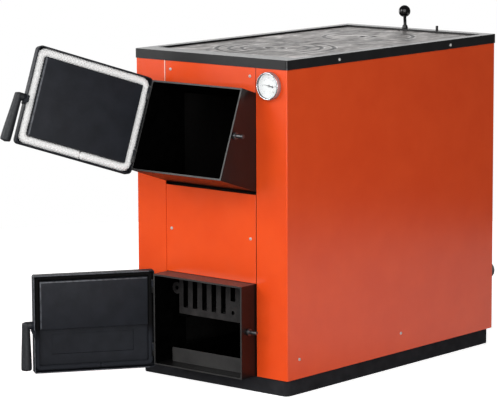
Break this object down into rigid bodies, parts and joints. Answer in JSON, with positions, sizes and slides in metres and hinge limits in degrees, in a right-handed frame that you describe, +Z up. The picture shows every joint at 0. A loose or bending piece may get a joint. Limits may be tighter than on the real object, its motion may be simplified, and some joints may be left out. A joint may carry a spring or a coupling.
{
  "type": "solid_fuel_boiler",
  "caption": "Solid fuel boiler with cooking plate: orange panels, black top frame, sloping loading chute, ash frame, open doors with rope seals, latch handles, thermometer and damper knob.",
  "frame": {"origin": "Middle of the base plinth's underside, on the floor.", "axes": "+Z up, the doors face -Y, +X to the right as seen from the front, +Y towards the flue."},
  "size_m": [0.5689, 1.2201, 0.8235],
  "materials": {
    "orange_paint": "satin powder coat",
    "black_paint": "matte",
    "grey_paint": "satin",
    "cast_iron": "ground",
    "grate_iron": "as cast",
    "boiler_steel": "rolled",
    "zinc_steel": "zinc plated",
    "turned_steel": "turned, oiled",
    "grip_plastic": "pressed",
    "knob_plastic": "polished",
    "white_rope": "braided glass fibre",
    "black_rope": "braided glass fibre",
    "board": "pressed fibre",
    "bezel": "polished",
    "dial": "matte",
    "needle": "matte",
    "clear_glass": "clear"
  },
  "bodies": {
    "boiler": {"base_plinth": "black_paint", "side_panel_left": "orange_paint", "side_panel_right": "orange_paint", "front_panel_top": "orange_paint", "front_panel_middle": "orange_paint", "rear_panel": "black_paint", "front_screws": "zinc_steel", "side_screws": "zinc_steel", "rim_screws": "zinc_steel", "top_frame": "black_paint", "cooking_plate": "cast_iron", "firebox_shell": "boiler_steel", "water_jacket": "boiler_steel", "water_shelf": "boiler_steel", "ash_floor": "boiler_steel", "insulation_left": "board", "insulation_right": "board", "insulation_rear": "board", "loading_chute": "grey_paint", "ash_frame": "grey_paint", "latch_pins": "turned_steel", "hinge_pins": "turned_steel", "fire_grate": "grate_iron", "grate_supports": "boiler_steel", "fence_grate": "grate_iron", "fence_brackets": "grey_paint", "smoke_box": "boiler_steel", "flue_socket": "grey_paint", "damper_collar": "black_paint", "rear_stud": "black_paint", "supply_nozzle": "black_paint", "return_nozzle": "black_paint", "thermometer_case": "bezel", "thermometer_dial": "dial", "thermometer_glass": "clear_glass"},
    "loading_door": {"loading_door": "grey_paint", "loading_door_panel": "grey_paint", "loading_door_board": "board", "loading_door_rope": "white_rope", "loading_pivot": "turned_steel"},
    "loading_handle": {"loading_hook": "grey_paint", "loading_grip": "grip_plastic"},
    "ash_door": {"ash_door": "grey_paint", "ash_door_shield": "grey_paint", "ash_door_rope": "black_rope", "ash_pivot": "turned_steel", "air_flap_pin": "turned_steel"},
    "ash_handle": {"ash_hook": "grey_paint", "ash_grip": "grip_plastic"},
    "air_flap": {"air_flap": "grey_paint"},
    "ash_pan": {"ash_pan": "grey_paint"},
    "burner_ring_outer": {"burner_ring_outer": "cast_iron"},
    "burner_ring_inner": {"burner_ring_inner": "cast_iron"},
    "burner_lid_front": {"burner_lid_front": "cast_iron"},
    "burner_lid_rear": {"burner_lid_rear": "cast_iron"},
    "damper": {"damper_spindle": "black_paint", "damper_flap": "boiler_steel", "damper_knob": "knob_plastic"},
    "thermometer_needle": {"thermometer_needle": "needle"}
  },
  "joints": [
    {"name": "loading_door_hinge", "type": "hinge", "parent": "boiler", "child": "loading_door", "pos_m": [-0.1395, -0.47689, 0.60188], "axis": [0, -0.3535, -0.9354], "range_deg": [-118, 0]},
    {"name": "loading_handle_turn", "type": "hinge", "parent": "loading_door", "child": "loading_handle", "pos_m": [-0.28337, -0.70834, 0.67651], "axis": [0.4695, 0.8259, -0.3121], "range_deg": [-28, 45]},
    {"name": "ash_door_hinge", "type": "hinge", "parent": "boiler", "child": "ash_door", "pos_m": [-0.14, -0.442, 0.145], "axis": [0, 0, -1], "range_deg": [-125.5, 10]},
    {"name": "ash_handle_turn", "type": "hinge", "parent": "ash_door", "child": "ash_handle", "pos_m": [-0.31434, -0.66403, 0.141], "axis": [0.5807, 0.8141, 0], "range_deg": [-18, 50]},
    {"name": "air_flap_hinge", "type": "hinge", "parent": "ash_door", "child": "air_flap", "pos_m": [-0.18383, -0.45127, 0.1265], "axis": [0.5807, 0.8141, 0], "range_deg": [0, 60]},
    {"name": "ash_pan_slide", "type": "slide", "parent": "boiler", "child": "ash_pan", "axis": [0, -1, 0], "range_m": [0, 0.4]},
    {"name": "outer_ring_lift", "type": "slide", "parent": "boiler", "child": "burner_ring_outer", "axis": [0, 0, 1], "range_m": [0, 0.03]},
    {"name": "inner_ring_lift", "type": "slide", "parent": "burner_ring_outer", "child": "burner_ring_inner", "axis": [0, 0, 1], "range_m": [0, 0.03]},
    {"name": "front_lid_lift", "type": "slide", "parent": "burner_ring_inner", "child": "burner_lid_front", "axis": [0, 0, 1], "range_m": [0, 0.04]},
    {"name": "rear_lid_lift", "type": "slide", "parent": "boiler", "child": "burner_lid_rear", "axis": [0, 0, 1], "range_m": [0, 0.06]},
    {"name": "damper_turn", "type": "hinge", "parent": "boiler", "child": "damper", "pos_m": [-0.039, 0.388, 0.7], "axis": [0, 0, -1], "range_deg": [0, 90]},
    {"name": "needle_turn", "type": "hinge", "parent": "boiler", "child": "thermometer_needle", "pos_m": [0.18, -0.4027, 0.708], "axis": [0, 1, 0], "range_deg": [-53, 217]}
  ]
}
